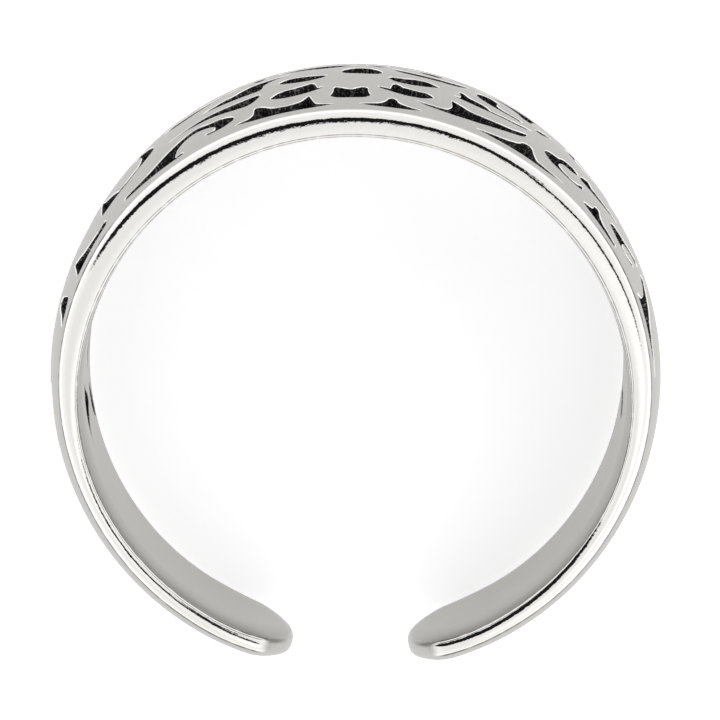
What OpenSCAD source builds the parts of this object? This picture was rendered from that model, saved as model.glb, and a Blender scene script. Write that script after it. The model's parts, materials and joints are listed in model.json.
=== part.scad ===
// Adjustable toe ring: one cast band, open between its two tips, with a
// pierced scroll pattern over its wide front. It lies on its side, with its
// wide front, the crest, towards -Y and the gap between its tips towards +Y.

/* [Ring] */
// Inside diameter, which is the toe's
inner_d = 15.5; // [13:0.5:19]
// Wall of the crest at the middle of the band
wall = 1.02; // [0.9:0.02:1.4]
// Wall of the arms' ends at the middle of the band
tip_wall = 1.14; // [1:0.02:1.5]
// How much lower the domed outside of the crest is at its edges than at its middle
dome = 0.24; // [0.04:0.02:0.4]
// The same on the arms, which are rounder
arm_dome = 0.66; // [0.3:0.02:0.74]
// Gap between the two tips, along the ring
gap = 3.4; // [2:0.1:6]

/* [Band] */
// Width of the band at the crest
crest_w = 6.1; // [5:0.1:8]
// Width of the plain arms
arm_w = 3.5; // [3:0.1:4.8]
// Width of the arms' ends, before their corners are rounded
tip_w = 2.5; // [2:0.1:2.9]
// Length of the rounded tips
tip_len = 1.2; // [0.8:0.1:2]
// How far the outside falls over that length
tip_drop = 0.3; // [0.1:0.02:0.36]
// Angle from the crest at which the band begins to narrow
narrow_from = 32; // [20:1:45]
// Angle from the crest at which it has the width of the arms
narrow_to = 150; // [130:1:156]
// Angle from the crest at which the wall begins to change towards the tips
wall_from = 95; // [60:1:120]
// Angle from the crest at which the outside begins to grow rounder
dome_from = 40; // [30:1:60]
// Angle from the crest at which it is as round as on the arms
dome_to = 130; // [90:1:150]
// Rounding of the outer edges
edge_r = 0.3; // [0.1:0.02:0.34]
// Bevel of the inner edges
bevel = 0.12; // [0.04:0.02:0.2]

/* [Scroll pattern] */
// Plain border between the pattern and the band's edges
border = 0.6; // [0.5:0.05:1]
// Pieces that each stretch of an opening's outline is drawn with
outline_steps = 2; // [1:1:4]

/* [Hidden] */

inner_r = inner_d / 2;
mid_r = inner_r + wall / 2;
// Angle from the crest to each tip
tip_a = 180 - gap / (2 * mid_r) * 180 / PI;
// Angle that a rounded tip takes
tip_arc = tip_len / mid_r * 180 / PI;
// Largest step between two sections of the band, in degrees
section_step = 4.5;
// Directions of the sections that round a tip, from blunt to full width
tip_turns = [12, 24, 36, 48, 60, 75, 90];
// Places across the domed outside, as shares of its half width
dome_places = [-1, -0.7, -0.35, 0, 0.35, 0.7, 1];
// Directions of the corners that round an outer edge
edge_turns = [30, 60, 90];
// How far the sections reach into the bore, which is then cut round
bore_reach = 0.1;
// How far an opening is cut past the wall at each side
cut_past = 0.1;
// Place across at which the pattern meets the border; the band's edge is 1
border_place = 0.8;
// Roundness of the outlines: 0 is straight stretches
roundness = 0.8;

// Openings of the pattern. Columns: name, whether it is also cut mirrored
// behind the band's middle, and its outline as [degrees from the crest,
// place across from -1 behind to 1 in front] corners in order.
OPENINGS = [
    ["crest keystone", false, [[-4.9, .25], [-3.6, .28], [-1.8, .34], [-.3, .27], [1.1, .27],
        [1.4, .42], [1.8, .51], [.6, .58], [-4.4, .58], [-5.6, .52], [-5.1, .4]]],
    ["crest lens", false, [[-3.8, -.37], [-3.3, -.48], [-1.6, -.56], [1.4, -.56], [3.1, -.49],
        [3.8, -.37], [3, -.28], [1.2, -.26], [-3, -.29]]],
    ["right lens", false, [[5.1, -.13], [5.4, -.2], [7.4, -.2], [10, -.25], [12.8, -.24],
        [14.7, -.14], [12.4, -.04], [9.5, .01], [6.6, -.02]]],
    ["right leaf", false, [[3.2, .2], [5.4, .25], [6, .07], [7, .08], [7.8, .15], [10.5, .2],
        [12.4, .2], [13.6, .3], [11.5, .4], [8.5, .41], [5.6, .34], [3.4, .25]]],
    ["right spire", false, [[-.4, .75], [3.4, .71], [4.8, .64], [5.4, .55], [6.4, .55],
        [7.2, .65], [9.2, .72], [11.8, .75], [9, .79], [5.8, .8], [2.5, .79]]],
    ["right horn", false, [[10.2, .5], [13.5, .54], [16.2, .53], [17.3, .42], [17.1, .21],
        [18.8, .27], [21.2, .36], [25.5, .34], [29.5, .27], [32.7, .14], [31.8, .3],
        [27.5, .47], [22.5, .59], [17.5, .63], [12.5, .58]]],
    ["right middle slot", false, [[17.2, 0], [18.9, -.02], [18.6, -.22], [19.4, -.23],
        [20.6, -.13], [24.2, -.04], [24.8, .03], [29.5, -.02], [34.1, -.13], [31.5, .01],
        [27.5, .07], [23, .09], [19.5, .06]]],
    ["right rear hook", false, [[22.4, -.5], [22.3, -.4], [22.9, -.31], [24.5, -.23],
        [27.5, -.18], [31.7, -.19], [31.6, -.25], [28.2, -.26], [26.5, -.33], [26.4, -.42],
        [27, -.52], [25.4, -.58], [23.2, -.57]]],
    ["right rear drop", false, [[34.9, -.32], [35.3, -.25], [36.2, -.27], [37.6, -.36],
        [38.8, -.44], [37.2, -.44], [35.6, -.39]]],
    ["right long slot", true, [[21.9, .75], [25, .72], [28.5, .66], [31.2, .56], [32.2, .46],
        [33.8, .46], [34.5, .6], [35.6, .72], [42.2, .75], [37, .8], [31.5, .8], [26, .79]]],
    ["right hook", false, [[36.8, .3], [37.7, .18], [40.2, .13], [41.8, .02], [44.6, .03],
        [45.2, .12], [43.6, .19], [41.3, .22], [40.2, .33], [41.2, .41], [43.4, .45],
        [45.4, .4], [46.4, .32], [46.4, .43], [44.2, .49], [42.2, .5], [38.4, .44]]],
    ["right drifting slot", false, [[45.9, .16], [46.4, 0], [48.2, -.09], [49, 0], [50.2, .04],
        [54.8, .04], [57.5, .06], [54.5, .13], [50, .17], [47, .17]]],
    ["right spike", true, [[47.2, .69], [49.8, .6], [50.3, .48], [51.4, .46], [52, .58],
        [53.6, .68], [58, .74], [57, .79], [52, .78], [48, .74]]],
    ["right far hook", true, [[55.1, .38], [56.2, .28], [59, .26], [61.5, .23], [63.9, .17],
        [65.6, .2], [65.4, .27], [62.8, .3], [60.2, .36], [59.4, .45], [60, .51], [61.8, .51],
        [64, .44], [64.1, .5], [61.6, .56], [58, .53], [55.8, .46]]],
    ["right far arm", true, [[67.4, .22], [69, .2], [70.8, .33], [73.2, .47], [75.4, .62],
        [78, .7], [86, .74], [79, .8], [72, .8], [67.6, .78], [69.5, .7], [69.9, .56],
        [69, .43], [67.4, .3]]],
    ["right last slot", false, [[93.4, -.6], [94.6, -.34], [96, -.1], [98.6, .02], [98.4, -.18],
        [96.8, -.42], [95.2, -.66]]],
    ["left lens", false, [[-15.6, -.23], [-14.4, -.31], [-12.3, -.32], [-9, -.28],
        [-6.4, -.24], [-7.6, -.14], [-10, -.08], [-12.5, -.09], [-15.2, -.16]]],
    ["left leaf", false, [[-17, .28], [-15.4, .16], [-12.5, .12], [-9.1, .04], [-8.1, .23],
        [-7, .18], [-7.6, .26], [-10.5, .36], [-13.8, .39], [-16.4, .34]]],
    ["left crown", false, [[-24.2, .73], [-21.4, .69], [-20.3, .62], [-20, .45], [-18.8, .47],
        [-16.6, .59], [-13.6, .63], [-11, .57], [-9.7, .45], [-9, .6], [-8.2, .7], [-4.8, .75],
        [-8.5, .79], [-14, .8], [-20, .785]]],
    ["left rear fin", false, [[-31.2, -.2], [-28, -.3], [-25, -.36], [-22, -.5], [-17.5, -.55],
        [-13.2, -.59], [-16.8, -.46], [-18.6, -.34], [-19.4, -.14], [-25, -.13]]],
    ["left front fin", false, [[-38.8, .11], [-35, .07], [-30, .03], [-24, .05], [-19.1, .03],
        [-20, .2], [-21.6, .29], [-24.5, .26], [-28.5, .17], [-34, .12]]],
    ["left comma", false, [[-24.4, .46], [-26.4, .37], [-29, .33], [-31.8, .27], [-34.5, .3],
        [-38, .41], [-41.5, .54], [-44.5, .62], [-49.6, .64], [-49.6, .7], [-44, .75], [-38.5, .77],
        [-35, .76], [-35.2, .71], [-36.9, .72], [-36.3, .56], [-34.6, .44], [-32.3, .39],
        [-29.8, .44], [-28, .52], [-28.2, .6], [-30.2, .6], [-29.6, .65], [-26.5, .64],
        [-24.4, .56]]],
    ["left hook", false, [[-44.6, -.48], [-42.9, -.3], [-42.5, -.14], [-44.4, .04], [-48, .2],
        [-51.5, .27], [-56.3, .32], [-57, 0], [-57.9, -.42], [-56.2, -.17], [-53.2, .03],
        [-51.2, .17], [-48.5, .12], [-46.2, .02], [-45.6, -.15], [-46, -.34], [-48.3, -.46],
        [-46.8, -.6]]],
    ["left wedge", true, [[-67.3, .34], [-65.5, .42], [-63.2, .53], [-60.5, .58], [-57.5, .6],
        [-55.7, .57], [-55.5, .7], [-60, .75], [-66.8, .76], [-67.1, .54]]],
    ["left middle drop", false, [[-67, -.16], [-65, -.08], [-62.5, -.1], [-60, -.24],
        [-61.5, -.3], [-64.5, -.24]]],
    ["left triangle", true, [[-75.9, .33], [-74.3, .33], [-72, .72], [-74.5, .78], [-77.8, .77],
        [-76.4, .62]]],
    ["left last slot", false, [[-106.5, .3], [-102, .28], [-99.5, .1], [-97, -.12], [-95.2, -.02],
        [-93.5, .2], [-90.5, .44], [-95, .46], [-101, .4]]],
    ["left last drop", false, [[-103.5, -.7], [-101, -.5], [-96, -.42], [-94.5, -.5],
        [-97.5, -.66], [-101, -.76]]],
    ["left hidden leaf", false, [[-91, -.3], [-87, -.12], [-82, -.06], [-78, -.14], [-81, -.26],
        [-86, -.36]]],
    ["left hidden slot", false, [[-90, -.74], [-87, -.64], [-84, -.58], [-82, -.62],
        [-81.5, -.72], [-84.5, -.78]]],
    ["left rear tail", false, [[-52.5, -.71], [-49, -.66], [-45, -.68], [-43, -.72],
        [-44.5, -.78], [-49, -.79]]],
    ["left rear crescent", false, [[-41, -.58], [-38.5, -.47], [-35.5, -.44], [-32, -.5],
        [-28.5, -.6], [-24, -.72], [-27.5, -.71], [-31.5, -.64], [-35, -.61], [-38.5, -.64]]],
    ["left rear spire", false, [[-40, -.77], [-38, -.75], [-35.5, -.7], [-33, -.71], [-30, -.77],
        [-33.5, -.8]]],
    ["left rear peak", false, [[-23.8, -.78], [-21.4, -.75], [-20.4, -.66], [-19.4, -.66],
        [-18.6, -.75], [-18, -.79], [-21, -.8]]],
    ["crest rear crown", false, [[-16.9, -.78], [-14.2, -.71], [-11, -.67], [-7.5, -.63],
        [-5, -.64], [-3, -.7], [-1, -.77], [-4, -.79], [-9, -.8], [-13, -.8]]],
    ["crest rear spire", false, [[.4, -.79], [1.6, -.73], [3.2, -.69], [4.6, -.74], [5.6, -.79],
        [3, -.8]]],
    ["right rear crescent", false, [[5.8, -.68], [6.6, -.55], [8.6, -.47], [13, -.43],
        [17.5, -.45], [19.6, -.54], [20.8, -.68], [18.5, -.62], [15.5, -.57], [11, -.57],
        [8, -.61]]],
    ["right rear spire", false, [[8.2, -.78], [10.8, -.75], [12, -.67], [14.4, -.66],
        [15.6, -.74], [18.5, -.78], [13, -.8]]],
    ["right rear comma", false, [[43, -.57], [45, -.45], [48.5, -.4], [51, -.45], [48, -.49],
        [45.8, -.56], [45.4, -.66], [47, -.71], [44.4, -.74], [42.9, -.66]]]
];

// Smooth rise from 0 to 1
function ease(t) = let (u = max(0, min(1, t))) u * u * (3 - 2 * u);

// Half width of the band without the rounding of its tips
function plain_half_w(a) =
    let (past = max(0, abs(a) - narrow_to) / (tip_a - narrow_to))
    (arm_w + (crest_w - arm_w) * (1 - ease((abs(a) - narrow_from) / (narrow_to - narrow_from)))
        + (tip_w - arm_w) * past * past) / 2;

// A size at an angle that goes from its crest value to its arm value
function between(a, crest, arm, start, end) = crest + (arm - crest) * ease((abs(a) - start) / (end - start));

// Radius of the domed outside at an angle and a share of the half width
function outer_r(a, share) =
    let (on_tip = max(0, 1 - (tip_a - abs(a)) / tip_arc))
    inner_r + between(a, wall, tip_wall, wall_from, narrow_to)
        - between(a, dome, arm_dome, dome_from, dome_to) * share * share - tip_drop * on_tip * on_tip;

// Section of the band at an angle, as [radius, height] corners; rounding is
// 1 on the band and falls towards 0 at the tips
function section(a, rounding) =
    let (
        half = plain_half_w(a) * rounding,
        edge = min(edge_r, half / 2),
        cut = min(bevel, half / 3),
        reach = min(bore_reach, half / 3),
        flat = half - edge,
        top = outer_r(a, flat / half),
        upper = [for (t = edge_turns) [top - edge * (1 - cos(t)), flat + edge * sin(t)]],
        side = concat(upper, [[inner_r + cut, half], [inner_r - reach, half - cut - reach]])
    )
    concat(
        [for (p = dome_places) [outer_r(a, p * flat / half), p * flat]],
        side,
        [for (i = [len(side) - 1:-1:0]) [side[i][0], -side[i][1]]]
    );

// A corner of a section as a point about the ring's axis
function turned(a, corner) = [-corner[0] * sin(a), -corner[0] * cos(a), corner[1]];

// Stations of one rounded tip: [angle, rounding]
tip_stations = [for (t = tip_turns) [tip_a - tip_arc * (1 - sin(90 - t)), sin(t)]];
// Stations of the band between the tips
last_a = tip_stations[len(tip_stations) - 1][0];
steps = ceil(2 * last_a / section_step);
stations = concat(
    [for (s = tip_stations) [-s[0], s[1]]],
    [for (i = [1:steps - 1]) [last_a * (2 * i / steps - 1), 1]],
    [for (i = [len(tip_stations) - 1:-1:0]) tip_stations[i]]
);
sections = [for (s = stations) section(s[0], s[1])];
corners = len(sections[0]);
band_points = [for (i = [0:len(stations) - 1], c = sections[i]) turned(stations[i][0], c)];

// Lean of the ring at rest: it stands on the inner edge of its wide front and
// on its narrower arms, so the lowest line across from one to the other is level
front_feet = [for (s = stations) if (cos(s[0]) > 0)
    [-(inner_r + bevel) * cos(s[0]), -plain_half_w(s[0])]];
arm_feet = [for (p = band_points) if (p[1] > 0) [p[1], p[2]]];
spans = [for (f = front_feet, g = arm_feet)
    let (slope = (g[1] - f[1]) / (g[0] - f[0])) [f[1] - slope * f[0], slope]];
lowest_span = min([for (s = spans) s[0]]);
lean = atan([for (s = spans) if (s[0] == lowest_span) s[1]][0]);
lying_points = [for (p = band_points)
    [p[1] * cos(lean) + p[2] * sin(lean), p[2] * cos(lean) - p[1] * sin(lean)]];
// Middle of the lying ring from front to back, and its lowest point
lying_mid = (min([for (p = lying_points) p[0]]) + max([for (p = lying_points) p[0]])) / 2;
lying_low = min([for (p = lying_points) p[1]]);

// Flat end of a tip, as strips across the band: a section's corners start at
// one side of the dome and come back to it, so each strip joins two of them
// to the two across
dome_end = len(dome_places) - 1;
end_strips = concat(
    [for (j = [0:floor(dome_end / 2) - 1])
        j + 1 == dome_end - j - 1 ? [j, j + 1, dome_end - j]
            : [j, j + 1, dome_end - j - 1, dome_end - j]],
    [for (j = [dome_end:dome_end + len(edge_turns) + 1])
        let (across = (dome_end - j + corners) % corners, past = (dome_end - j - 1 + corners) % corners)
        [j, j + 1, past, across]]
);

// Solid band through all sections, not yet bored
module band_blank() {
    last = len(stations) - 1;
    polyhedron(
        points = band_points,
        faces = concat(
            [for (strip = end_strips) strip],
            [for (i = [0:last - 1], j = [0:corners - 1])
                let (k = (j + 1) % corners)
                [i * corners + j, (i + 1) * corners + j, (i + 1) * corners + k]],
            [for (i = [0:last - 1], j = [0:corners - 1])
                let (k = (j + 1) % corners)
                [i * corners + j, (i + 1) * corners + k, i * corners + k]],
            [for (strip = end_strips) [for (k = [len(strip) - 1:-1:0]) last * corners + strip[k]]]
        )
    );
}

function unit(v) = v / norm(v);

// Direction of an outline at corner b, shorter the sharper it turns there
function heading(a, b, c) =
    let (turn = (1 + unit(b - a) * unit(c - b)) / 2)
    turn < 0.01 ? [0, 0] : turn * unit(c - a);

// Outline through all corners, round where it turns little, sharp at tips
function rounded_outline(p) =
    let (n = len(p))
    [for (i = [0:n - 1])
        let (
            a = p[(i + n - 1) % n], b = p[i], c = p[(i + 1) % n], d = p[(i + 2) % n],
            pull = roundness * norm(c - b),
            from = pull * heading(a, b, c),
            to = pull * heading(b, c, d)
        )
        for (k = [0:outline_steps - 1])
            let (t = k / outline_steps)
            (1 + 2 * t) * (1 - t) * (1 - t) * b + t * (1 - t) * (1 - t) * from
                + t * t * (3 - 2 * t) * c + t * t * (t - 1) * to];

// One opening, cut straight through the wall at the middle of its outline
module opening(outline) {
    angles = [for (p = outline) p[0]];
    mid_a = (min(angles) + max(angles)) / 2;
    flat = rounded_outline([for (p = outline) [
        mid_r * sin(p[0] - mid_a),
        p[1] / border_place * (plain_half_w(p[0]) - border)
    ]]);
    reach = max([for (p = flat) abs(p[0])]);
    inner_y = sqrt(inner_r * inner_r - reach * reach) - cut_past;
    rotate([0, 0, -mid_a])
        translate([0, -inner_y, 0])
            rotate([90, 0, 0])
                mirror([1, 0, 0])
                    linear_extrude(height = inner_r + wall + cut_past - inner_y)
                        polygon(flat);
}

module pattern() {
    for (row = OPENINGS) {
        opening(row[2]);
        if (row[1]) opening([for (p = row[2]) [p[0], -p[1]]]);
    }
}

module band() {
    color("gainsboro")
        translate([0, -lying_mid, -lying_low])
            rotate([-lean, 0, 0])
                difference() {
                    band_blank();
                    cylinder(r = inner_r, h = 2 * crest_w, center = true, $fn = 96);
                    pattern();
                }
}

band();
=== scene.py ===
import json
import math

import bpy
import numpy as np
from mathutils import Matrix, Vector
from mathutils.geometry import delaunay_2d_cdt


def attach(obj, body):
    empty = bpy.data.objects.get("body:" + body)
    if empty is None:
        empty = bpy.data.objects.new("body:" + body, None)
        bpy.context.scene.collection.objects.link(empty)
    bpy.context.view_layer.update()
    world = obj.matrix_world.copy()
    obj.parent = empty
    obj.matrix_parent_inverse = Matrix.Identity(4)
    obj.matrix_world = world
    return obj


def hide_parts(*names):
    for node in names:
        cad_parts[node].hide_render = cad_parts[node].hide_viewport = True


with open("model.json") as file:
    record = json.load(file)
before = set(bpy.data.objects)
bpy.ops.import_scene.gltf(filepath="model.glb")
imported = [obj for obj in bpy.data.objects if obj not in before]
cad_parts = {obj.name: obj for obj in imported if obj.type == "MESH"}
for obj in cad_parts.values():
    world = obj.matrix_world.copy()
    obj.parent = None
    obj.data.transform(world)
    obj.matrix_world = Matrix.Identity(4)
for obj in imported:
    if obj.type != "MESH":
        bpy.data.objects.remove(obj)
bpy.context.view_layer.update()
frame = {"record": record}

# Sizes of the ring, in millimetres and degrees
MM = 0.001
INNER_R = 7.75
WALL = 1.02
TIP_WALL = 1.14
WALL_FROM = 95
DOME = 0.24
ARM_DOME = 0.57
DOME_FROM = 40
DOME_TO = 130
GAP = 3.4
CREST_W = 6.1
ARM_W = 3.5
TIP_W = 2.5
TIP_LEN = 1.2
TIP_DROP = 0.42
NARROW_FROM = 32
NARROW_TO = 150
MID_R = INNER_R + WALL / 2
TIP_A = 180 - math.degrees(GAP / (2 * MID_R))
TIP_ARC = math.degrees(TIP_LEN / MID_R)

# Rim: a round edge, a slightly round side and a small inner round, at the crest
# and on the arms, which meet at these directions of its surface: 90 faces out,
# 0 sideways, -90 inwards
RIM_ROUND = 0.35
ARM_RIM_ROUND = 0.27
INNER_ROUND = 0.12
ARM_INNER_ROUND = 0.3
SIDE_TURN_OUT = 12
SIDE_TURN_IN = 8
# Mesh rows of the round edge, the side and the inner round
EDGE_ROWS = 9
SIDE_ROWS = 5
FOOT_ROWS = 6

# How far the polish of each arm reaches over the rim, the angles between which
# it grows and fades, and those between which the tips' rim turns satin
POLISH_REACH_LEFT = 0.08
POLISH_REACH_RIGHT = 0.2
POLISH_FROM = 70
POLISH_WIDE = 105
POLISH_FADE = 122
POLISH_NARROW = 150
POLISH_END = 161.5
SATIN_TIP = 163.5

# Inner edge: how much further out it lies than the bore, at the crest and on
# the arms, and how far in from the edge this begins
FLARE_CREST = 0.05
FLARE_ARM = 0.17
FLARE_FROM = 60
FLARE_TO = 120
FLARE_REACH = 0.5

# Distances from the rim to the mesh rows of the outside beside it, and how far
# they stay from an opening
POLISH_ROWS = (0.07, 0.14, 0.21, 0.28)
ROW_CLEAR = 0.08

# Soft edges of the openings, outside and inside: their radius, the directions
# of the mesh rows that round them, and one more row outside
EDGE_ROUND = 0.03
INNER_EDGE_ROUND = 0.02
EDGE_TURNS = (60, 30, 0)
INNER_EDGE_TURNS = (45, 0)
OUTER_ROW = 0.11
# How soon the edges outside are all polished, as they turn over
EDGE_POLISH = 1.6

# Scroll pattern: plain border, and the place across at which it starts
BORDER = 0.6
BORDER_PLACE = 0.8
ROUNDNESS = 0.8

# Mesh spacing, in millimetres
OUTLINE_STEP = 0.06
RIM_STEP = 0.1
FACE_STEP = 0.19
# Height of the rows of triangles, and how near points may lie, both as shares
# of the spacing; and how near to each other two rings of points may lie
TRIANGLE_HEIGHT = 0.866
NEAREST = 0.45
RING_SHARE = 0.93
# How far round an opening the distance to it is worked out
OPENING_REACH = 0.3
# Fewest points of an outline, steps round half a tip, and rows of a wall
FEWEST_POINTS = 24
TIP_STEPS = 24
WALL_ROWS = 4

# Openings of the pattern: name, whether it is also cut mirrored behind the
# band's middle, and its corners as (degrees from the crest, place across)
OPENINGS = [
    ("crest keystone", False, [(-4.9, .25), (-3.6, .28), (-1.8, .34), (-.3, .27), (1.1, .27),
        (1.4, .42), (1.8, .51), (.6, .58), (-4.4, .58), (-5.6, .52), (-5.1, .4)]),
    ("crest lens", False, [(-3.8, -.37), (-3.3, -.48), (-1.6, -.56), (1.4, -.56), (3.1, -.49),
        (3.8, -.37), (3, -.28), (1.2, -.26), (-3, -.29)]),
    ("right lens", False, [(5.1, -.13), (5.4, -.2), (7.4, -.2), (10, -.25), (12.8, -.24),
        (14.7, -.14), (12.4, -.04), (9.5, .01), (6.6, -.02)]),
    ("right leaf", False, [(3.2, .2), (5.4, .25), (6, .07), (7, .08), (7.8, .15), (10.5, .2),
        (12.4, .2), (13.6, .3), (11.5, .4), (8.5, .41), (5.6, .34), (3.4, .25)]),
    ("right spire", False, [(-.4, .75), (3.4, .71), (4.8, .64), (5.4, .55), (6.4, .55),
        (7.2, .65), (9.2, .72), (11.8, .75), (9, .79), (5.8, .8), (2.5, .79)]),
    ("right horn", False, [(10.2, .5), (13.5, .54), (16.2, .53), (17.3, .42), (17.1, .21),
        (18.8, .27), (21.2, .36), (25.5, .34), (29.5, .27), (32.7, .14), (31.8, .3),
        (27.5, .47), (22.5, .59), (17.5, .63), (12.5, .58)]),
    ("right middle slot", False, [(17.2, 0), (18.9, -.02), (18.6, -.22), (19.4, -.23),
        (20.6, -.13), (24.2, -.04), (24.8, .03), (29.5, -.02), (34.1, -.13), (31.5, .01),
        (27.5, .07), (23, .09), (19.5, .06)]),
    ("right rear hook", False, [(22.4, -.5), (22.3, -.4), (22.9, -.31), (24.5, -.23),
        (27.5, -.18), (31.7, -.19), (31.6, -.25), (28.2, -.26), (26.5, -.33), (26.4, -.42),
        (27, -.52), (25.4, -.58), (23.2, -.57)]),
    ("right rear drop", False, [(34.9, -.32), (35.3, -.25), (36.2, -.27), (37.6, -.36),
        (38.8, -.44), (37.2, -.44), (35.6, -.39)]),
    ("right long slot", True, [(21.9, .75), (25, .72), (28.5, .66), (31.2, .56), (32.2, .46),
        (33.8, .46), (34.5, .6), (35.6, .72), (42.2, .75), (37, .8), (31.5, .8), (26, .79)]),
    ("right hook", False, [(36.8, .3), (37.7, .18), (40.2, .13), (41.8, .02), (44.6, .03),
        (45.2, .12), (43.6, .19), (41.3, .22), (40.2, .33), (41.2, .41), (43.4, .45),
        (45.4, .4), (46.4, .32), (46.4, .43), (44.2, .49), (42.2, .5), (38.4, .44)]),
    ("right drifting slot", False, [(45.9, .16), (46.4, 0), (48.2, -.09), (49, 0), (50.2, .04),
        (54.8, .04), (57.5, .06), (54.5, .13), (50, .17), (47, .17)]),
    ("right spike", True, [(47.2, .69), (49.8, .6), (50.3, .48), (51.4, .46), (52, .58),
        (53.6, .68), (58, .74), (57, .79), (52, .78), (48, .74)]),
    ("right far hook", True, [(55.1, .38), (56.2, .28), (59, .26), (61.5, .23), (63.9, .17),
        (65.6, .2), (65.4, .27), (62.8, .3), (60.2, .36), (59.4, .45), (60, .51), (61.8, .51),
        (64, .44), (64.1, .5), (61.6, .56), (58, .53), (55.8, .46)]),
    ("right far arm", True, [(67.4, .22), (69, .2), (70.8, .33), (73.2, .47), (75.4, .62),
        (78, .7), (86, .74), (79, .8), (72, .8), (67.6, .78), (69.5, .7), (69.9, .56),
        (69, .43), (67.4, .3)]),
    ("right last slot", False, [(93.4, -.6), (94.6, -.34), (96, -.1), (98.6, .02), (98.4, -.18),
        (96.8, -.42), (95.2, -.66)]),
    ("left lens", False, [(-15.6, -.23), (-14.4, -.31), (-12.3, -.32), (-9, -.28),
        (-6.4, -.24), (-7.6, -.14), (-10, -.08), (-12.5, -.09), (-15.2, -.16)]),
    ("left leaf", False, [(-17, .28), (-15.4, .16), (-12.5, .12), (-9.1, .04), (-8.1, .23),
        (-7, .18), (-7.6, .26), (-10.5, .36), (-13.8, .39), (-16.4, .34)]),
    ("left crown", False, [(-24.2, .73), (-21.4, .69), (-20.3, .62), (-20, .45), (-18.8, .47),
        (-16.6, .59), (-13.6, .63), (-11, .57), (-9.7, .45), (-9, .6), (-8.2, .7), (-4.8, .75),
        (-8.5, .79), (-14, .8), (-20, .785)]),
    ("left rear fin", False, [(-31.2, -.2), (-28, -.3), (-25, -.36), (-22, -.5), (-17.5, -.55),
        (-13.2, -.59), (-16.8, -.46), (-18.6, -.34), (-19.4, -.14), (-25, -.13)]),
    ("left front fin", False, [(-38.8, .11), (-35, .07), (-30, .03), (-24, .05), (-19.1, .03),
        (-20, .2), (-21.6, .29), (-24.5, .26), (-28.5, .17), (-34, .12)]),
    ("left comma", False, [(-24.4, .46), (-26.4, .37), (-29, .33), (-31.8, .27), (-34.5, .3),
        (-38, .41), (-41.5, .54), (-44.5, .62), (-49.6, .64), (-49.6, .7), (-44, .75), (-38.5, .77),
        (-35, .76), (-35.2, .71), (-36.9, .72), (-36.3, .56), (-34.6, .44), (-32.3, .39),
        (-29.8, .44), (-28, .52), (-28.2, .6), (-30.2, .6), (-29.6, .65), (-26.5, .64),
        (-24.4, .56)]),
    ("left hook", False, [(-44.6, -.48), (-42.9, -.3), (-42.5, -.14), (-44.4, .04), (-48, .2),
        (-51.5, .27), (-56.3, .32), (-57, 0), (-57.9, -.42), (-56.2, -.17), (-53.2, .03),
        (-51.2, .17), (-48.5, .12), (-46.2, .02), (-45.6, -.15), (-46, -.34), (-48.3, -.46),
        (-46.8, -.6)]),
    ("left wedge", True, [(-67.3, .34), (-65.5, .42), (-63.2, .53), (-60.5, .58), (-57.5, .6),
        (-55.7, .57), (-55.5, .7), (-60, .75), (-66.8, .76), (-67.1, .54)]),
    ("left middle drop", False, [(-67, -.16), (-65, -.08), (-62.5, -.1), (-60, -.24),
        (-61.5, -.3), (-64.5, -.24)]),
    ("left triangle", True, [(-75.9, .33), (-74.3, .33), (-72, .72), (-74.5, .78), (-77.8, .77),
        (-76.4, .62)]),
    ("left last slot", False, [(-106.5, .3), (-102, .28), (-99.5, .1), (-97, -.12), (-95.2, -.02),
        (-93.5, .2), (-90.5, .44), (-95, .46), (-101, .4)]),
    ("left last drop", False, [(-103.5, -.7), (-101, -.5), (-96, -.42), (-94.5, -.5),
        (-97.5, -.66), (-101, -.76)]),
    ("left hidden leaf", False, [(-91, -.3), (-87, -.12), (-82, -.06), (-78, -.14), (-81, -.26),
        (-86, -.36)]),
    ("left hidden slot", False, [(-90, -.74), (-87, -.64), (-84, -.58), (-82, -.62),
        (-81.5, -.72), (-84.5, -.78)]),
    ("left rear tail", False, [(-52.5, -.71), (-49, -.66), (-45, -.68), (-43, -.72),
        (-44.5, -.78), (-49, -.79)]),
    ("left rear crescent", False, [(-41, -.58), (-38.5, -.47), (-35.5, -.44), (-32, -.5),
        (-28.5, -.6), (-24, -.72), (-27.5, -.71), (-31.5, -.64), (-35, -.61), (-38.5, -.64)]),
    ("left rear spire", False, [(-40, -.77), (-38, -.75), (-35.5, -.7), (-33, -.71), (-30, -.77),
        (-33.5, -.8)]),
    ("left rear peak", False, [(-23.8, -.78), (-21.4, -.75), (-20.4, -.66), (-19.4, -.66),
        (-18.6, -.75), (-18, -.79), (-21, -.8)]),
    ("crest rear crown", False, [(-16.9, -.78), (-14.2, -.71), (-11, -.67), (-7.5, -.63),
        (-5, -.64), (-3, -.7), (-1, -.77), (-4, -.79), (-9, -.8), (-13, -.8)]),
    ("crest rear spire", False, [(.4, -.79), (1.6, -.73), (3.2, -.69), (4.6, -.74), (5.6, -.79),
        (3, -.8)]),
    ("right rear crescent", False, [(5.8, -.68), (6.6, -.55), (8.6, -.47), (13, -.43),
        (17.5, -.45), (19.6, -.54), (20.8, -.68), (18.5, -.62), (15.5, -.57), (11, -.57),
        (8, -.61)]),
    ("right rear spire", False, [(8.2, -.78), (10.8, -.75), (12, -.67), (14.4, -.66),
        (15.6, -.74), (18.5, -.78), (13, -.8)]),
    ("right rear comma", False, [(43, -.57), (45, -.45), (48.5, -.4), (51, -.45), (48, -.49),
        (45.8, -.56), (45.4, -.66), (47, -.71), (44.4, -.74), (42.9, -.66)]),
]


# The ring's own place and axis as it lies, from its toe hole

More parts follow.
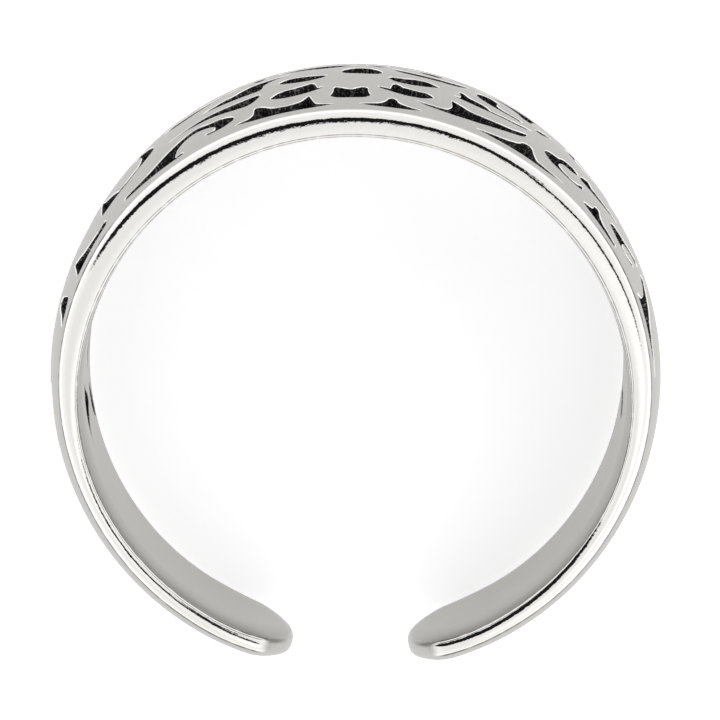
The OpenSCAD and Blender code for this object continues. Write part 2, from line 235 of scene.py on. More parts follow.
hole = next(m for m in frame["record"]["mounts"] if m["name"] == "toe_hole")
ring_centre = Vector(hole["pos_m"])
ring_axis = Vector(hole["axis"]).normalized()
ring_x = Vector((1, 0, 0))
ring_y = ring_axis.cross(ring_x)


def ease(t):
    u = np.clip(t, 0, 1)
    return u * u * (3 - 2 * u)


def plain_half_w(a):
    """Half width of the band at an angle, without the rounding of the tips."""
    d = np.abs(a)
    past = np.maximum(0, d - NARROW_TO) / (TIP_A - NARROW_TO)
    narrowing = 1 - ease((d - NARROW_FROM) / (NARROW_TO - NARROW_FROM))
    return (ARM_W + (CREST_W - ARM_W) * narrowing + (TIP_W - ARM_W) * past * past) / 2


def between(a, crest, arm, start, end):
    """A size that goes from its crest value to its arm value between two angles."""
    return crest + (arm - crest) * ease((np.abs(a) - start) / (end - start))


def wall_at(a):
    return between(a, WALL, TIP_WALL, WALL_FROM, NARROW_TO)


def flare_at(a):
    return between(a, FLARE_CREST, FLARE_ARM, FLARE_FROM, FLARE_TO)


def dome_at(a):
    return between(a, DOME, ARM_DOME, DOME_FROM, DOME_TO)


def polish_reach_at(a):
    """How far over the rim the polish reaches; the right arm is at positive angles."""
    side = np.where(a > 0, POLISH_REACH_RIGHT, POLISH_REACH_LEFT)
    fade = ease((np.abs(a) - POLISH_FADE) / (POLISH_NARROW - POLISH_FADE))
    return side * between(a, 0, 1, POLISH_FROM, POLISH_WIDE) * (1 - fade)


def rim_round_at(a):
    return between(a, RIM_ROUND, ARM_RIM_ROUND, DOME_FROM, DOME_TO)


def inner_round_at(a):
    return between(a, INNER_ROUND, ARM_INNER_ROUND, FLARE_FROM, FLARE_TO)


def to_angle(u):
    return np.degrees(u / MID_R)


def to_u(a):
    return np.radians(a) * MID_R


def outer_r(u, z):
    a = to_angle(u)
    share = z / plain_half_w(a)
    on_tip = np.clip(1 - (TIP_A - np.abs(a)) / TIP_ARC, 0, 1)
    return INNER_R + wall_at(a) - dome_at(a) * share * share - TIP_DROP * on_tip * on_tip


def unit(v):
    return v / np.maximum(np.linalg.norm(v, axis=-1, keepdims=True), 1e-12)


def lift(u, z, r):
    """Points of the unrolled band, at radius r, about the ring's own axis."""
    a = np.asarray(u) / MID_R
    return np.stack([-r * np.sin(a), -r * np.cos(a), np.asarray(z)], axis=-1)


def axes_at(u):
    """Directions outward, along the band and across it, at places along it."""
    a = np.asarray(u) / MID_R
    zero = np.zeros_like(a)
    outward = np.stack([-np.sin(a), -np.cos(a), zero], axis=-1)
    along = np.stack([-np.cos(a), np.sin(a), zero], axis=-1)
    across = np.stack([zero, zero, zero + 1], axis=-1)
    return outward, along, across


def dome_slopes(u, z):
    step = 0.01
    slope_u = (outer_r(u + step, z) - outer_r(u - step, z)) / (2 * step)
    slope_z = (outer_r(u, z + step) - outer_r(u, z - step)) / (2 * step)
    return np.stack([slope_u, slope_z], axis=-1)


def dome_normal(u, z):
    outward, along, across = axes_at(u)
    slopes = dome_slopes(u, z)
    return unit(outward - slopes[..., :1] * along - slopes[..., 1:] * across)


def flat_direction(u, flat):
    """A direction of the unrolled band as a direction in space."""
    _, along, across = axes_at(u)
    return unit(flat[..., :1] * along + flat[..., 1:] * across)


# Outlines in the unrolled band: u along it and z across it, in millimetres

def heading(a, b, c):
    turn = (1 + unit(b - a) @ unit(c - b)) / 2
    return np.zeros(2) if turn < 0.01 else turn * unit(c - a)


def rounded_outline(corners, steps=10):
    p = np.array(corners, dtype=float)
    n = len(p)
    out = []
    for i in range(n):
        a, b, c, d = p[i - 1], p[i], p[(i + 1) % n], p[(i + 2) % n]
        pull = ROUNDNESS * np.linalg.norm(c - b)
        start = pull * heading(a, b, c)
        end = pull * heading(b, c, d)
        for k in range(steps):
            t = k / steps
            out.append((1 + 2 * t) * (1 - t) ** 2 * b + t * (1 - t) ** 2 * start
                       + t * t * (3 - 2 * t) * c + t * t * (t - 1) * end)
    return np.array(out)


def resampled(loop, step):
    closed = np.vstack([loop, loop[:1]])
    along = np.concatenate([[0], np.cumsum(np.linalg.norm(np.diff(closed, axis=0), axis=1))])
    count = max(FEWEST_POINTS, round(along[-1] / step))
    at = np.linspace(0, along[-1], count, endpoint=False)
    return np.stack([np.interp(at, along, closed[:, k]) for k in (0, 1)], axis=1)


def softened(loop):
    return (np.roll(loop, 1, axis=0) + 2 * loop + np.roll(loop, -1, axis=0)) / 4


def loop_area(loop):
    x, y = loop[:, 0], loop[:, 1]
    return 0.5 * np.sum(x * np.roll(y, -1) - y * np.roll(x, -1))


def left_normals(loop):
    """Unit normals to the left of a loop's run."""
    run = unit(np.roll(loop, -1, axis=0) - np.roll(loop, 1, axis=0))
    return np.stack([-run[:, 1], run[:, 0]], axis=1)


def opening_loops():
    loops = []
    for _, mirrored, corners in OPENINGS:
        for side in ((1, -1) if mirrored else (1,)):
            flat = [(to_u(a), side * s / BORDER_PLACE * (plain_half_w(a) - BORDER))
                    for a, s in corners]
            loop = softened(resampled(rounded_outline(flat), OUTLINE_STEP))
            loops.append(loop if loop_area(loop) > 0 else loop[::-1])
    return loops


def band_loop():
    """Outline of the unrolled band, run so that the metal is on its left."""
    tip_u = to_u(TIP_A)
    bend_u = tip_u - TIP_LEN
    half = []
    for u in np.arange(0, bend_u, RIM_STEP):
        half.append((u, -plain_half_w(to_angle(u))))
    for t in np.linspace(0, 90, TIP_STEPS + 1):
        u = bend_u + TIP_LEN * math.sin(math.radians(t))
        half.append((u, -plain_half_w(to_angle(u)) * math.cos(math.radians(t))))
    half = np.array(half)
    front = half[-2:0:-1] * (1, -1)
    right = np.vstack([half, front, [[0, -half[0][1]]]])
    left = right[-2:0:-1] * (-1, 1)
    return resampled(np.vstack([right, left]), RIM_STEP)


def inside(points, loop):
    x, y = points[:, :1], points[:, 1:]
    x0, y0 = loop[:, 0], loop[:, 1]
    x1, y1 = np.roll(x0, -1), np.roll(y0, -1)
    crosses = (y0 > y) != (y1 > y)
    at = x0 + (x1 - x0) * (y - y0) / np.where(y1 == y0, 1, y1 - y0)
    return (crosses & (x < at)).sum(axis=1) % 2 == 1


def nearest_on(points, loop):
    """Distance from points to a loop, and the direction from them to it."""
    a = loop
    run = np.roll(loop, -1, axis=0) - a
    rel = points[:, None, :] - a[None]
    t = np.clip((rel * run).sum(-1) / (run * run).sum(-1), 0, 1)
    gap = rel - t[..., None] * run
    dist = np.linalg.norm(gap, axis=-1)
    i = dist.argmin(axis=1)
    row = np.arange(len(points))
    return dist[row, i], -unit(gap[row, i])


def in_parts(measure, points, loop):
    """A measure of many points, worked out a part of them at a time."""
    return [measure(part, loop) for part in np.array_split(points, 24)]


def inside_many(points, loop):
    return np.concatenate(in_parts(inside, points, loop))


def nearest_many(points, loop):
    found = in_parts(nearest_on, points, loop)
    return np.concatenate([d for d, _ in found]), np.vstack([to for _, to in found])


def near_openings(points, loops, reach):
    """Distance and direction to the nearest opening, and who lies in one."""
    dist = np.full(len(points), np.inf)
    toward = np.zeros((len(points), 2))
    within = np.zeros(len(points), bool)
    for loop in loops:
        low, high = loop.min(axis=0) - reach, loop.max(axis=0) + reach
        near = np.nonzero(((points > low) & (points < high)).all(axis=1))[0]
        if not len(near):
            continue
        d, to = nearest_on(points[near], loop)
        closer = d < dist[near]
        dist[near[closer]] = d[closer]
        toward[near[closer]] = to[closer]
        within[near] |= inside(points[near], loop)
    return dist, toward, within


# Faces of the band

def face_points(boundary, loops, rings, rim_rings):
    """Free points of a face: rings round each opening and inside the rim, then
    an even spread."""
    kept = []
    for loop in loops:
        out = -left_normals(loop)
        for ring in rings:
            p = loop + ring * out
            d, _, within = near_openings(p, loops, OPENING_REACH)
            kept.append(p[~within & (d > RING_SHARE * ring)])
    for ring in rim_rings:
        p = boundary + ring * left_normals(boundary)
        d, _, within = near_openings(p, loops, OPENING_REACH)
        kept.append(p[~within & (d > ROW_CLEAR)])
    low, high = boundary.min(axis=0), boundary.max(axis=0)
    rows = np.arange(low[1], high[1], FACE_STEP * TRIANGLE_HEIGHT)
    spread = np.array([(u + (FACE_STEP / 2 if k % 2 else 0), z)
                       for k, z in enumerate(rows) for u in np.arange(low[0], high[0], FACE_STEP)])
    d, _, within = near_openings(spread, loops, FACE_STEP)
    spread = spread[~within & (d > rings[-1] + FACE_STEP * NEAREST)]
    clear = nearest_many(spread, boundary)[0] > rim_rings[-1] + FACE_STEP * NEAREST
    kept.append(spread[clear])
    points = np.vstack(kept)
    far = nearest_many(points, boundary)[0] > RIM_STEP * NEAREST
    return points[inside_many(points, boundary) & far]


def triangulate(boundary, loops, free):
    """Triangles of the region between the boundary and the openings."""
    rings = [boundary] + loops
    edges = []
    start = 0
    for ring in rings:
        n = len(ring)
        edges += [(start + i, start + (i + 1) % n) for i in range(n)]
        start += n
    fixed = np.vstack(rings)
    points = np.vstack([fixed, free])
    verts, _, faces, origin, _, _ = delaunay_2d_cdt(
        [Vector(p) for p in points], edges, [], 1, 1e-7, True)
    place = {}
    for new, olds in enumerate(origin):
        for old in olds:
            place[old] = new
    flat = np.array([tuple(v) for v in verts])
    tris = np.array([f for f in faces])
    middle = flat[tris].mean(axis=1)
    keep = ~near_openings(middle, loops, 0.01)[2] & inside_many(middle, boundary)
    index = np.array([place[i] for i in range(len(fixed))])
    return flat, tris[keep], index


class Mesh:
    """Points with their normals and the faces between them, as they are made.
    A point also has its place in the unrolled band, its share of the way over
    the rim (0 outside, 1 inside), how much it is polished as the edge of an
    opening, and how far from the rim's polish it lies, below 0 within it."""

    def __init__(self):
        self.points, self.normals, self.flat = [], [], []
        self.share, self.polish, self.satin = [], [], []
        self.faces, self.slots = [], []
        self.count = 0

    def add_points(self, points, normals, flat, share=0.0, polish=0.0, satin=1.0):
        first = self.count
        n = len(points)
        self.points.append(points)
        self.normals.append(normals)
        self.flat.append(flat)
        self.share.append(np.zeros(n) + share)
        self.polish.append(np.zeros(n) + polish)
        self.satin.append(np.zeros(n) + satin)
        self.count += n
        return first + np.arange(n)

    def add_faces(self, faces, slot):
        self.faces += [tuple(int(i) for i in f) for f in faces]
        self.slots += [slot] * len(faces)

    def add_strip(self, row_a, row_b, slot):
        """Quads between two closed rows, the first further out; they face left."""
        a2, b2 = np.roll(row_a, -1), np.roll(row_b, -1)
        self.add_faces(np.stack([row_a, row_b, b2, a2], axis=1), slot)


OUTSIDE, INSIDE, BLACKENED = 0, 1, 2


def quarter_rings(radius, turns):
    """Distances from an edge to the rows that round it."""
    return [radius * (1 - math.sin(math.radians(t))) for t in turns]


def rounding(flat, loops, on_edge, radius):
    """How far each point leans over the rounded edge of an opening, and where to."""
    dist, toward, _ = near_openings(flat, loops, OPENING_REACH)
    dist[on_edge] = 0
    toward[on_edge] = np.vstack([left_normals(loop) for loop in loops])
    lean = np.clip(1 - dist / radius, 0, 1)
    return lean, toward, radius * (1 - np.sqrt(1 - lean * lean))


def outer_face(mesh, rim, loops):
    """Domed outside, which dips round each opening; returns its edge rows."""
    rings = quarter_rings(EDGE_ROUND, EDGE_TURNS) + [OUTER_ROW]
    free = face_points(rim, loops, rings, POLISH_ROWS)
    flat, tris, index = triangulate(rim, loops, free)
    u, z = flat[:, 0], flat[:, 1]
    lean, toward, drop = rounding(flat, loops, index[len(rim):], EDGE_ROUND)
    top = dome_normal(u, z)
    side = flat_direction(u, toward)
    normal = unit(np.sqrt(1 - lean * lean)[:, None] * top + lean[:, None] * side)
    from_rim, _ = nearest_many(flat, rim)
    from_rim[index[:len(rim)]] = 0
    ids = mesh.add_points(lift(u, z, outer_r(u, z) - drop), normal, flat,
                          0.0, ease(EDGE_POLISH * lean),
                          from_rim - polish_reach_at(to_angle(u)))
    mesh.add_faces(ids[tris][:, ::-1], OUTSIDE)
    return ids[index]


def inner_face(mesh, rim, loops):
    """Round inside, flared at its edges; returns its edge rows."""
    rings = quarter_rings(INNER_EDGE_ROUND, INNER_EDGE_TURNS)
    flare_rings = [FLARE_REACH * k / 4 for k in (1, 2, 3)]
    free = face_points(rim, loops, rings, flare_rings)
    flat, tris, index = triangulate(rim, loops, free)
    u, z = flat[:, 0], flat[:, 1]
    lean, toward, rise = rounding(flat, loops, index[len(rim):], INNER_EDGE_ROUND)
    from_rim, to_rim = nearest_many(flat, rim)
    from_rim[index[:len(rim)]] = 0
    to_rim[index[:len(rim)]] = -left_normals(rim)
    near = np.clip(1 - from_rim / FLARE_REACH, 0, 1)
    flare = flare_at(to_angle(u))
    slope = 2 * flare * near / FLARE_REACH
    outward, _, _ = axes_at(u)
    face = unit(slope[:, None] * flat_direction(u, to_rim) - outward)
    side = flat_direction(u, toward)
    normal = unit(np.sqrt(1 - lean * lean)[:, None] * face + lean[:, None] * side)
    ids = mesh.add_points(lift(u, z, INNER_R + flare * near * near + rise), normal, flat, 1.0)
    mesh.add_faces(ids[tris], INSIDE)
    return ids[index]


def opening_walls(mesh, loops, outer_ids, inner_ids):
    start = 0
    for loop in loops:
        n = len(loop)
        rows = [outer_ids[start:start + n]]
        u, z = loop[:, 0], loop[:, 1]
        top, foot = outer_r(u, z) - EDGE_ROUND, INNER_R + INNER_EDGE_ROUND
        normal = flat_direction(u, left_normals(loop))
        for k in range(1, WALL_ROWS):
            r = top + (foot - top) * k / WALL_ROWS
            rows.append(mesh.add_points(lift(u, z, r), normal, loop))
        rows.append(inner_ids[start:start + n])
        for a, b in zip(rows, rows[1:]):
            mesh.add_strip(a, b, BLACKENED)
        start += n


def sin_d(t):
    return np.sin(np.radians(t))


def cos_d(t):
    return np.cos(np.radians(t))


class Rim:
    """Section of the rim all along the band's outline: how far each direction
    of it lies in from the outline, and how high above its foot."""

    def __init__(self, outline):
        self.outline = outline
        self.inwards = left_normals(outline)
        a = to_angle(outline[:, 0])
        self.flare = flare_at(a)
        self.round = rim_round_at(a)
        self.inner_round = inner_round_at(a)
        rise = (dome_slopes(outline[:, 0], outline[:, 1]) * self.inwards).sum(axis=1)
        self.face_turn = 90 - np.degrees(np.arctan(rise))
        self.foot_turn = 90 - np.degrees(np.arctan(2 * self.flare / FLARE_REACH))
        self.side_r = np.zeros(len(outline))
        for _ in range(2):
            top = self.inset(self.depth(self.face_turn))
            height = outer_r(top[:, 0], top[:, 1]) - INNER_R - self.flare
            rounds = (self.round * (sin_d(self.face_turn) - sin_d(SIDE_TURN_OUT))
                      + self.inner_round * (sin_d(self.foot_turn) - sin_d(SIDE_TURN_IN)))
            self.side_r = (height - rounds) / (sin_d(SIDE_TURN_OUT) + sin_d(SIDE_TURN_IN))

    def inset(self, depth):
        return self.outline + depth[:, None] * self.inwards

    def depth(self, turn):
        side_turn = np.clip(turn, -SIDE_TURN_IN, SIDE_TURN_OUT)
        side = self.side_r * (1 - cos_d(side_turn))
        edge = self.round * (cos_d(SIDE_TURN_OUT) - cos_d(np.maximum(turn, SIDE_TURN_OUT)))
        foot = self.inner_round * (cos_d(SIDE_TURN_IN) - cos_d(np.minimum(turn, -SIDE_TURN_IN)))
        return side + edge + foot

    def height(self, turn):
        side_turn = np.clip(turn, -SIDE_TURN_IN, SIDE_TURN_OUT)
        side = self.side_r * (sin_d(SIDE_TURN_IN) + sin_d(side_turn))
        edge = self.round * (sin_d(np.maximum(turn, SIDE_TURN_OUT)) - sin_d(SIDE_TURN_OUT))
        foot = self.inner_round * (sin_d(self.foot_turn) - sin_d(np.maximum(-turn, SIDE_TURN_IN)))
        return side + edge + foot

    def turns(self):
        """Directions of the rows between the two faces, from outside to inside."""
        same = np.ones(len(self.outline))
        rows = [self.face_turn + (SIDE_TURN_OUT - self.face_turn) * k / EDGE_ROWS
                for k in range(1, EDGE_ROWS + 1)]
        rows += [t * same for t in np.linspace(SIDE_TURN_OUT, -SIDE_TURN_IN, SIDE_ROWS + 1)[1:]]
        rows += [-SIDE_TURN_IN - (self.foot_turn - SIDE_TURN_IN) * k / FOOT_ROWS
                 for k in range(1, FOOT_ROWS)]
        return rows


def rim_faces(mesh, rim, outer_ids, inner_ids):
    """Rounded outer edge, side and inner round, all along the band's outline."""
    away = flat_direction(rim.outline[:, 0], -rim.inwards)
    rows = [outer_ids]
    outward, _, _ = axes_at(rim.outline[:, 0])
    top_depth, full = rim.depth(rim.face_turn), rim.height(rim.face_turn)
    reach = polish_reach_at(to_angle(rim.outline[:, 0]))
    for turn in rim.turns():
        depth = rim.depth(turn)
        flat = rim.inset(depth)
        u, z = flat[:, 0], flat[:, 1]
        height = rim.height(turn)
        normal = unit(sin_d(turn)[:, None] * outward + cos_d(turn)[:, None] * away)
        satin = -np.hypot(top_depth - depth, full - height) - reach
        points = lift(u, z, INNER_R + rim.flare + height)
        rows.append(mesh.add_points(points, normal, flat, 1 - height / full, 0.0, satin))
    rows.append(inner_ids)
    for a, b in zip(rows, rows[1:]):
        mesh.add_strip(b, a, OUTSIDE)


def build_band():
    loops = opening_loops()
    outline = band_loop()
    rim = Rim(outline)
    outer_rim = rim.inset(rim.depth(rim.face_turn))
    inner_rim = rim.inset(rim.depth(-rim.foot_turn))
    mesh = Mesh()
    outer_ids = outer_face(mesh, outer_rim, loops)
    inner_ids = inner_face(mesh, inner_rim, loops)
    n = len(outline)
    rim_faces(mesh, rim, outer_ids[:n], inner_ids[:n])
    opening_walls(mesh, loops, outer_ids[n:], inner_ids[n:])
    return mesh


def to_world(points):
    basis = np.array([ring_x, ring_y, ring_axis])
    return points @ basis


def make_object(name, mesh, materials):
    points = to_world(np.vstack(mesh.points)) * MM + np.array(ring_centre)
    normals = to_world(np.vstack(mesh.normals))
    data = bpy.data.meshes.new(name)
    data.from_pydata(points.tolist(), [], mesh.faces)
    for material in materials:
        data.materials.append(material)
    data.polygons.foreach_set("material_index", mesh.slots)
    data.polygons.foreach_set("use_smooth", [True] * len(mesh.slots))
    corner = np.empty(len(data.loops), dtype=np.int32)
    data.loops.foreach_get("vertex_index", corner)
    chart = data.uv_layers.new(name="chart")
    chart.data.foreach_set("uv", np.vstack(mesh.flat)[corner].ravel())
    for layer, values in (("share", mesh.share), ("polish", mesh.polish), ("satin", mesh.satin)):
        attribute = data.attributes.new(layer, "FLOAT", "POINT")
        attribute.data.foreach_set("value", np.concatenate(values))
    data.normals_split_custom_set_from_vertices(normals.tolist())
    obj = bpy.data.objects.new(name, data)
    bpy.context.scene.collection.objects.link(obj)
    return obj


# Materials

# Share of a stripe's width over which it is full
STRIPE_CORE = 0.3


class Nodes:
    """A material's or world's node tree, with short ways to add to it."""

    def __init__(self, owner):
        owner.use_nodes = True
        self.tree = owner.node_tree
        self.nodes = self.tree.nodes

    def add(self, kind, **settings):
        node = self.nodes.new("ShaderNode" + kind)
        for name, value in settings.items():
            setattr(node, name, value)
        return node

    def put(self, value, socket):
        """Links an output to a socket, or sets the socket to a plain value."""
        if isinstance(value, bpy.types.NodeSocket):
            self.tree.links.new(value, socket)
        else:
            socket.default_value = value

    def math(self, operation, a, b=0.0, c=0.0, clamp=False):
        node = self.add("Math", operation=operation, use_clamp=clamp)
        for value, socket in zip((a, b, c), node.inputs):
            self.put(value, socket)
        return node.outputs[0]

    def vector(self, operation, a, b=(0, 0, 0)):
        node = self.add("VectorMath", operation=operation)
        self.put(a, node.inputs[0])
        self.put(b, node.inputs[1])
        return node.outputs["Value" if operation in ("DOT_PRODUCT", "LENGTH") else "Vector"]

    def blend(self, share, a, b):
        """Colour or number between two, by a share."""
        kind = "RGBA" if isinstance(a, tuple) or isinstance(b, tuple) else "FLOAT"
        node = self.add("Mix", data_type=kind)
        sockets = [s for s in node.inputs if s.enabled]
        for value, socket in zip((share, a, b), sockets):
            self.put(value, socket)
        return next(s for s in node.outputs if s.enabled)

    def noise(self, place, scale, detail=2.0, stretch=(1, 1, 1)):
        """Smooth noise around 0.5; stretch multiplies the place first."""
        node = self.add("TexNoise")
        self.put(self.vector("MULTIPLY", place, stretch), node.inputs["Vector"])
        node.inputs["Scale"].default_value = scale
        node.inputs["Detail"].default_value = detail
        return node.outputs[0]

    def part(self, place, axis):
        """One of the coordinates of a place."""
        node = self.add("SeparateXYZ")
        self.put(place, node.inputs[0])
        return node.outputs[axis]

    def product(self, first, *others):
        for other in others:
            first = self.math("MULTIPLY", first, other)
        return first

    def stripe(self, value, middle, half):
        """1 near a value, falling to 0 at half the stripe's width from it."""
        away = self.math("ABSOLUTE", self.math("SUBTRACT", value, middle))
        return self.ramp(away, half, STRIPE_CORE * half)

    def attribute(self, name):
        return self.add("Attribute", attribute_name=name).outputs["Fac"]

    def chart(self):
        """Place in the unrolled band, in millimetres."""
        return self.add("UVMap", uv_map="chart").outputs[0]

    def space(self):
        """Place in space, in metres."""
        return self.add("TexCoord").outputs["Object"]

    def ramp(self, value, low, high):
        """Smooth rise from 0 at low to 1 at high."""
        node = self.add("MapRange", interpolation_type="SMOOTHSTEP")
        for number, socket in zip((value, low, high, 0.0, 1.0), node.inputs):
            self.put(number, socket)
        return node.outputs[0]

    def bump(self, height, distance, normal=None):
        node = self.add("Bump")
        node.inputs["Strength"].default_value = 1.0
        node.inputs["Distance"].default_value = distance
        self.put(height, node.inputs["Height"])
        if normal:
            self.put(normal, node.inputs["Normal"])
        return node.outputs[0]


def new_material(name):
    material = bpy.data.materials.new(name)
    n = Nodes(material)
    return material, n, n.nodes["Principled BSDF"]


# Colours of the metal, the satin ones darker partly for the satin finish and partly as painted
# shade, how much lighter and darker the satin goes in places,
# how rough each finish is, and how high its relief is, in metres
SILVER_BRIGHT = (0.94, 0.925, 0.895, 1)
SATIN_AND_SHADE_OUTSIDE = (0.445, 0.439, 0.415, 1)
SATIN_AND_SHADE_INSIDE = (0.455, 0.447, 0.425, 1)
CLOUDS_OUTSIDE = (0.84, 1.16)
CLOUDS_INSIDE = (0.94, 1.06)
POLISHED_ROUGH = 0.05
OUTSIDE_ROUGH = 0.36
INSIDE_ROUGH = 0.38
POLISHED_RELIEF = 0.0000022
OUTSIDE_RELIEF = 0.0000018
INSIDE_RELIEF = 0.0000012


def clouded(n, share, colour, factors):
    """A colour between darker and lighter, by a share."""
    dark, light = (tuple(f * c for c in colour[:3]) + (1,) for f in factors)
    return n.blend(share, dark, light)


def satin_relief(n, chart, space):
    """Height of fine grain and of hairlines that run along the band."""
    grain = n.noise(space, 26000, 2.0)
    hair = n.noise(chart, 22, 2.0, (0.06, 1, 1))
    return n.math("MULTIPLY_ADD", hair, 0.8, grain)


# Painted shade lines: fine dark lines painted into the colour, as shade in the crease at the
# satin's edge and as dark reflections on the inner round. Their colour, the places and half widths
# of the line at the satin's edge (in millimetres) and of the two over the rim (as shares of it),
# the lengths along the band between which the first one starts and the others turn
# full, and where they all end, near the tips
PAINTED_SHADE_LINE = (0.07, 0.055, 0.045, 1)
OUTER_SHADE_LINE = (-0.025, 0.075)
INNER_SHADE_LINES = ((0.86, 0.03), (0.95, 0.035))
OUTER_SHADE_LINE_START = (6.2, 8.8)
INNER_SHADE_LINES_FULL = (21.5, 23)
SHADE_LINES_END = (23.5, 23.1)


def painted_shade_lines(n, chart, share, satin):
    """Fine dark lines painted into the colour: painted shade where the satin meets the polish on
    the arms, and two painted dark reflections along the inner edge."""
    along = n.math("ABSOLUTE", n.part(chart, 0))
    uneven = n.ramp(n.noise(chart, 3.1, 3.0, (1, 0.2, 1)), 0.3, 0.6)
    outer = n.product(n.stripe(satin, *OUTER_SHADE_LINE), n.ramp(along, *OUTER_SHADE_LINE_START))
    first, second = (n.stripe(share, *seam) for seam in INNER_SHADE_LINES)
    full = n.math("MULTIPLY_ADD", n.ramp(along, *INNER_SHADE_LINES_FULL), 0.4, 0.6)
    inner = n.product(n.math("ADD", first, second, clamp=True), full)
    lines = n.product(n.math("MAXIMUM", outer, inner), n.ramp(along, *SHADE_LINES_END))
    return n.product(lines, n.math("MULTIPLY_ADD", uneven, 0.55, 0.45))


# Width over which the polish of the rim sets in, and how much is left of it on
# the tips
POLISH_SOFT = 0.12
TIP_POLISH = 0.08


def polish_of(n, chart, satin):
    """How polished the outside is: its rim, and the edges of the openings."""
    along = n.math("ABSOLUTE", n.part(chart, 0))
    on_tip = n.ramp(along, to_u(POLISH_END), to_u(SATIN_TIP))
    on_rim = n.product(n.ramp(satin, 0.0, -POLISH_SOFT), n.blend(on_tip, 1.0, TIP_POLISH))
    return n.math("MAXIMUM", on_rim, n.attribute("polish"))


def silver_outside():
    """Satin outside, its colour darkened partly with painted shade, with polished rim and polished
    edges round the openings, and painted shade lines.
    """
    material, n, shader = new_material("silver_outside")
    satin, share, chart, space = n.attribute("satin"), n.attribute("share"), n.chart(), n.space()
    polish = polish_of(n, chart, satin)
    shown = n.blend(0.6, n.noise(space, 900, 3.0), n.noise(space, 9000, 3.0))
    # the satin colour is darkened partly with painted shade; the polish blends it to bright silver
    metal = n.blend(polish, clouded(n, shown, SATIN_AND_SHADE_OUTSIDE, CLOUDS_OUTSIDE), SILVER_BRIGHT)
    # blends the painted shade lines over the metal's colour
    n.put(n.blend(painted_shade_lines(n, chart, share, satin), metal, PAINTED_SHADE_LINE), shader.inputs["Base Color"])
    shader.inputs["Metallic"].default_value = 1.0
    n.put(n.blend(polish, OUTSIDE_ROUGH, POLISHED_ROUGH), shader.inputs["Roughness"])
    brushed = n.math("MULTIPLY", satin_relief(n, chart, space), n.math("SUBTRACT", 1.0, polish))
    marks = n.noise(space, 12000, 3.0)
    waves = n.noise(space, 2300, 1.0)
    uneven = n.math("MULTIPLY", n.math("MULTIPLY_ADD", waves, 4.0, n.product(marks, 1.6)), polish)
    rough = n.bump(brushed, OUTSIDE_RELIEF)
    n.put(n.bump(uneven, POLISHED_RELIEF, rough), shader.inputs["Normal"])
    return material


def silver_inside():
    """Plain brushed inside, its colour darkened partly with painted shade."""
    material, n, shader = new_material("silver_inside")
    chart, space = n.chart(), n.space()
    shown = n.noise(space, 600, 3.0)
    # the satin colour is darkened partly with painted shade
    n.put(clouded(n, shown, SATIN_AND_SHADE_INSIDE, CLOUDS_INSIDE), shader.inputs["Base Color"])
    shader.inputs["Metallic"].default_value = 1.0
    shader.inputs["Roughness"].default_value = INSIDE_ROUGH
    n.put(n.bump(satin_relief(n, chart, space), INSIDE_RELIEF), shader.inputs["Normal"])
    return material


# Blackened walls: their black and the grey of the tool marks
BLACK = (0.008, 0.008, 0.008, 1)
TOOL_GREY = (0.42, 0.415, 0.4, 1)
WALL_RELIEF = 0.00002


def blackened():
    """Oxidised walls of the openings: black, with grey tool marks through the wall."""
    material, n, shader = new_material("silver_blackened")
    marks = n.noise(n.chart(), 13, 3.0)
    specks = n.noise(n.space(), 12000, 4.0)
    shown = n.math("ADD", n.math("MULTIPLY", marks, 0.38), n.math("MULTIPLY", specks, 0.62))
    light = n.ramp(shown, 0.51, 0.61)
    n.put(n.blend(light, BLACK, TOOL_GREY), shader.inputs["Base Color"])
    n.put(n.blend(light, 0.2, 0.9), shader.inputs["Metallic"])
    n.put(n.blend(light, 0.55, 0.35), shader.inputs["Roughness"])
    n.put(n.bump(shown, WALL_RELIEF), shader.inputs["Normal"])
    return material


# Floor: its colour, how rough it is, and how much it glows as a lit table does
FLOOR_COLOUR = (0.9, 0.9, 0.915, 1)
FLOOR_ROUGH = 0.9
FLOOR_GLOW = 0.57
FLOOR_SIZE = 0.6


def paper_white():
    """Pale floor that glows a little."""
    material, n, shader = new_material("floor_white")
    shader.inputs["Base Color"].default_value = FLOOR_COLOUR
    shader.inputs["Roughness"].default_value = FLOOR_ROUGH
    shader.inputs["Emission Color"].default_value = (1, 1, 1, 1)
    shader.inputs["Emission Strength"].default_value = FLOOR_GLOW
    return material


# Stage, light and camera

def make_floor(size):
    data = bpy.data.meshes.new("floor")
    h = size / 2
    data.from_pydata([(-h, -h, 0), (h, -h, 0), (h, h, 0), (-h, h, 0)], [], [(0, 1, 2, 3)])
    data.materials.append(paper_white())
    obj = bpy.data.objects.new("floor", data)
    bpy.context.scene.collection.objects.link(obj)


# Photograph's view: angle between the ring's axis and the line of sight, its
# turn and roll, and how many pixels a millimetre takes at the ring's centre
VIEW_OFF_AXIS = 16.0
VIEW_TURN = -0.46
VIEW_ROLL = -1.15
VIEW_DISTANCE = 180.0
PIXELS_PER_MM = 34.75
FRAME_PIXELS = 720
CENTRE_X_PIXEL = 355.6
CENTRE_Y_PIXEL = 375.9
SENSOR = 36.0


def view_axes():
    """Right, up and towards the camera, in space."""
    al, turn, roll = (math.radians(t) for t in (VIEW_OFF_AXIS, VIEW_TURN, VIEW_ROLL))
    right = -ring_x * math.cos(turn) + ring_axis * math.sin(turn)
    front = ring_x * math.sin(turn) + ring_axis * math.cos(turn)
    up = -ring_y * math.cos(al) - front * math.sin(al)
    back = -ring_y * math.sin(al) + front * math.cos(al)
    rolled_right = right * math.cos(roll) - up * math.sin(roll)
    rolled_up = right * math.sin(roll) + up * math.cos(roll)
    return rolled_right, rolled_up, back


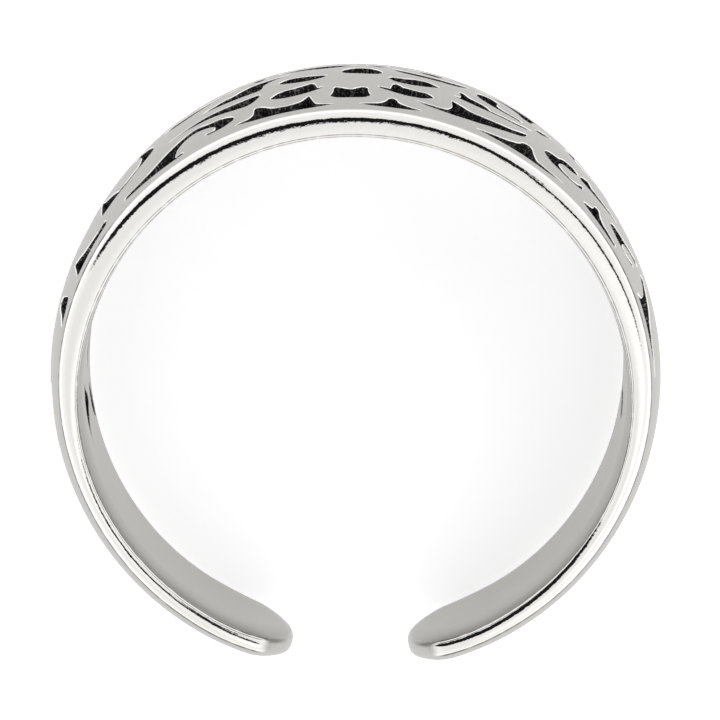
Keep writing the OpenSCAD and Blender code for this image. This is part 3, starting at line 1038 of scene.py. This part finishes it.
def make_camera():
    right, up, back = view_axes()
    data = bpy.data.cameras.new("camera")
    data.sensor_width = SENSOR
    data.lens = PIXELS_PER_MM * VIEW_DISTANCE / FRAME_PIXELS * SENSOR
    data.clip_start = 0.001
    data.clip_end = 10
    half = FRAME_PIXELS / 2
    aside = (half - CENTRE_X_PIXEL) / PIXELS_PER_MM
    above = (CENTRE_Y_PIXEL - half) / PIXELS_PER_MM
    place = ring_centre + MM * (VIEW_DISTANCE * back + aside * right + above * up)
    camera = bpy.data.objects.new("camera", data)
    camera.matrix_world = Matrix((right, up, back)).transposed().to_4x4()
    camera.location = place
    bpy.context.scene.collection.objects.link(camera)
    bpy.context.scene.camera = camera


# Light tent. Places in it are degrees from overhead of the ring's axis: to the
# right of the photograph, and towards its top. Each patch has its middle, its
# half sizes, its turn and how soft its edge is, and a light one its strength.
TENT_LIGHT = 0.97
DARK_LIGHT = 0.01
DARK_PATCHES = [
    ("camera side", (-27, 20.5), (62, 18.5), 6, 0.08),
    ("tent seam", (31, 0), (28, 8.5), -40, 0.15),
]
LIGHT_PATCHES = [
    ("tent top", (0, 8), (62, 62), 0, 0.4, 0.86),
    ("lamp above", (0, 104), (92, 38), 0, 0.45, 0.93),
    ("lamp below right", (28, -34), (26, 20), -30, 0.8, 1.12),
]


def patch(n, place, middle, half, turn, soft):
    """1 inside a turned ellipse of the tent, falling to 0 over its soft edge."""
    away = n.vector("SUBTRACT", place, (*middle, 0))
    c, s = math.cos(math.radians(turn)), math.sin(math.radians(turn))
    along = n.vector("DOT_PRODUCT", away, (c / half[0], s / half[0], 0))
    across = n.vector("DOT_PRODUCT", away, (-s / half[1], c / half[1], 0))
    squared = n.math("ADD", n.math("MULTIPLY", along, along), n.math("MULTIPLY", across, across))
    return n.ramp(n.math("SQRT", squared), 1 + soft, 1 - soft)


def make_world():
    world = bpy.data.worlds.new("tent")
    bpy.context.scene.world = world
    n = Nodes(world)
    direction = n.vector("NORMALIZE", n.add("TexCoord").outputs["Generated"])
    right = n.vector("DOT_PRODUCT", direction, tuple(-ring_x))
    top = n.vector("DOT_PRODUCT", direction, tuple(-ring_y))
    ahead = n.vector("DOT_PRODUCT", direction, tuple(ring_axis))
    spread = n.math("DIVIDE", math.degrees(2), n.math("MAXIMUM", n.math("ADD", ahead, 1.0), 0.05))
    pair = n.add("CombineXYZ")
    n.put(n.math("MULTIPLY", right, spread), pair.inputs[0])
    n.put(n.math("MULTIPLY", top, spread), pair.inputs[1])
    place = pair.outputs[0]
    light = TENT_LIGHT
    for _, middle, half, turn, soft, strength in LIGHT_PATCHES:
        light = n.blend(patch(n, place, middle, half, turn, soft), light, strength)
    for _, middle, half, turn, soft in DARK_PATCHES:
        light = n.blend(patch(n, place, middle, half, turn, soft), light, DARK_LIGHT)
    background = n.nodes["Background"]
    background.inputs["Color"].default_value = (1, 1, 1, 1)
    n.put(light, background.inputs["Strength"])


band_mesh = build_band()
band = make_object("toe_ring_band", band_mesh, [silver_outside(), silver_inside(), blackened()])
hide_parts("band")
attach(band, "root")

make_floor(FLOOR_SIZE)
make_world()
make_camera()
bpy.context.scene.view_settings.view_transform = "Standard"
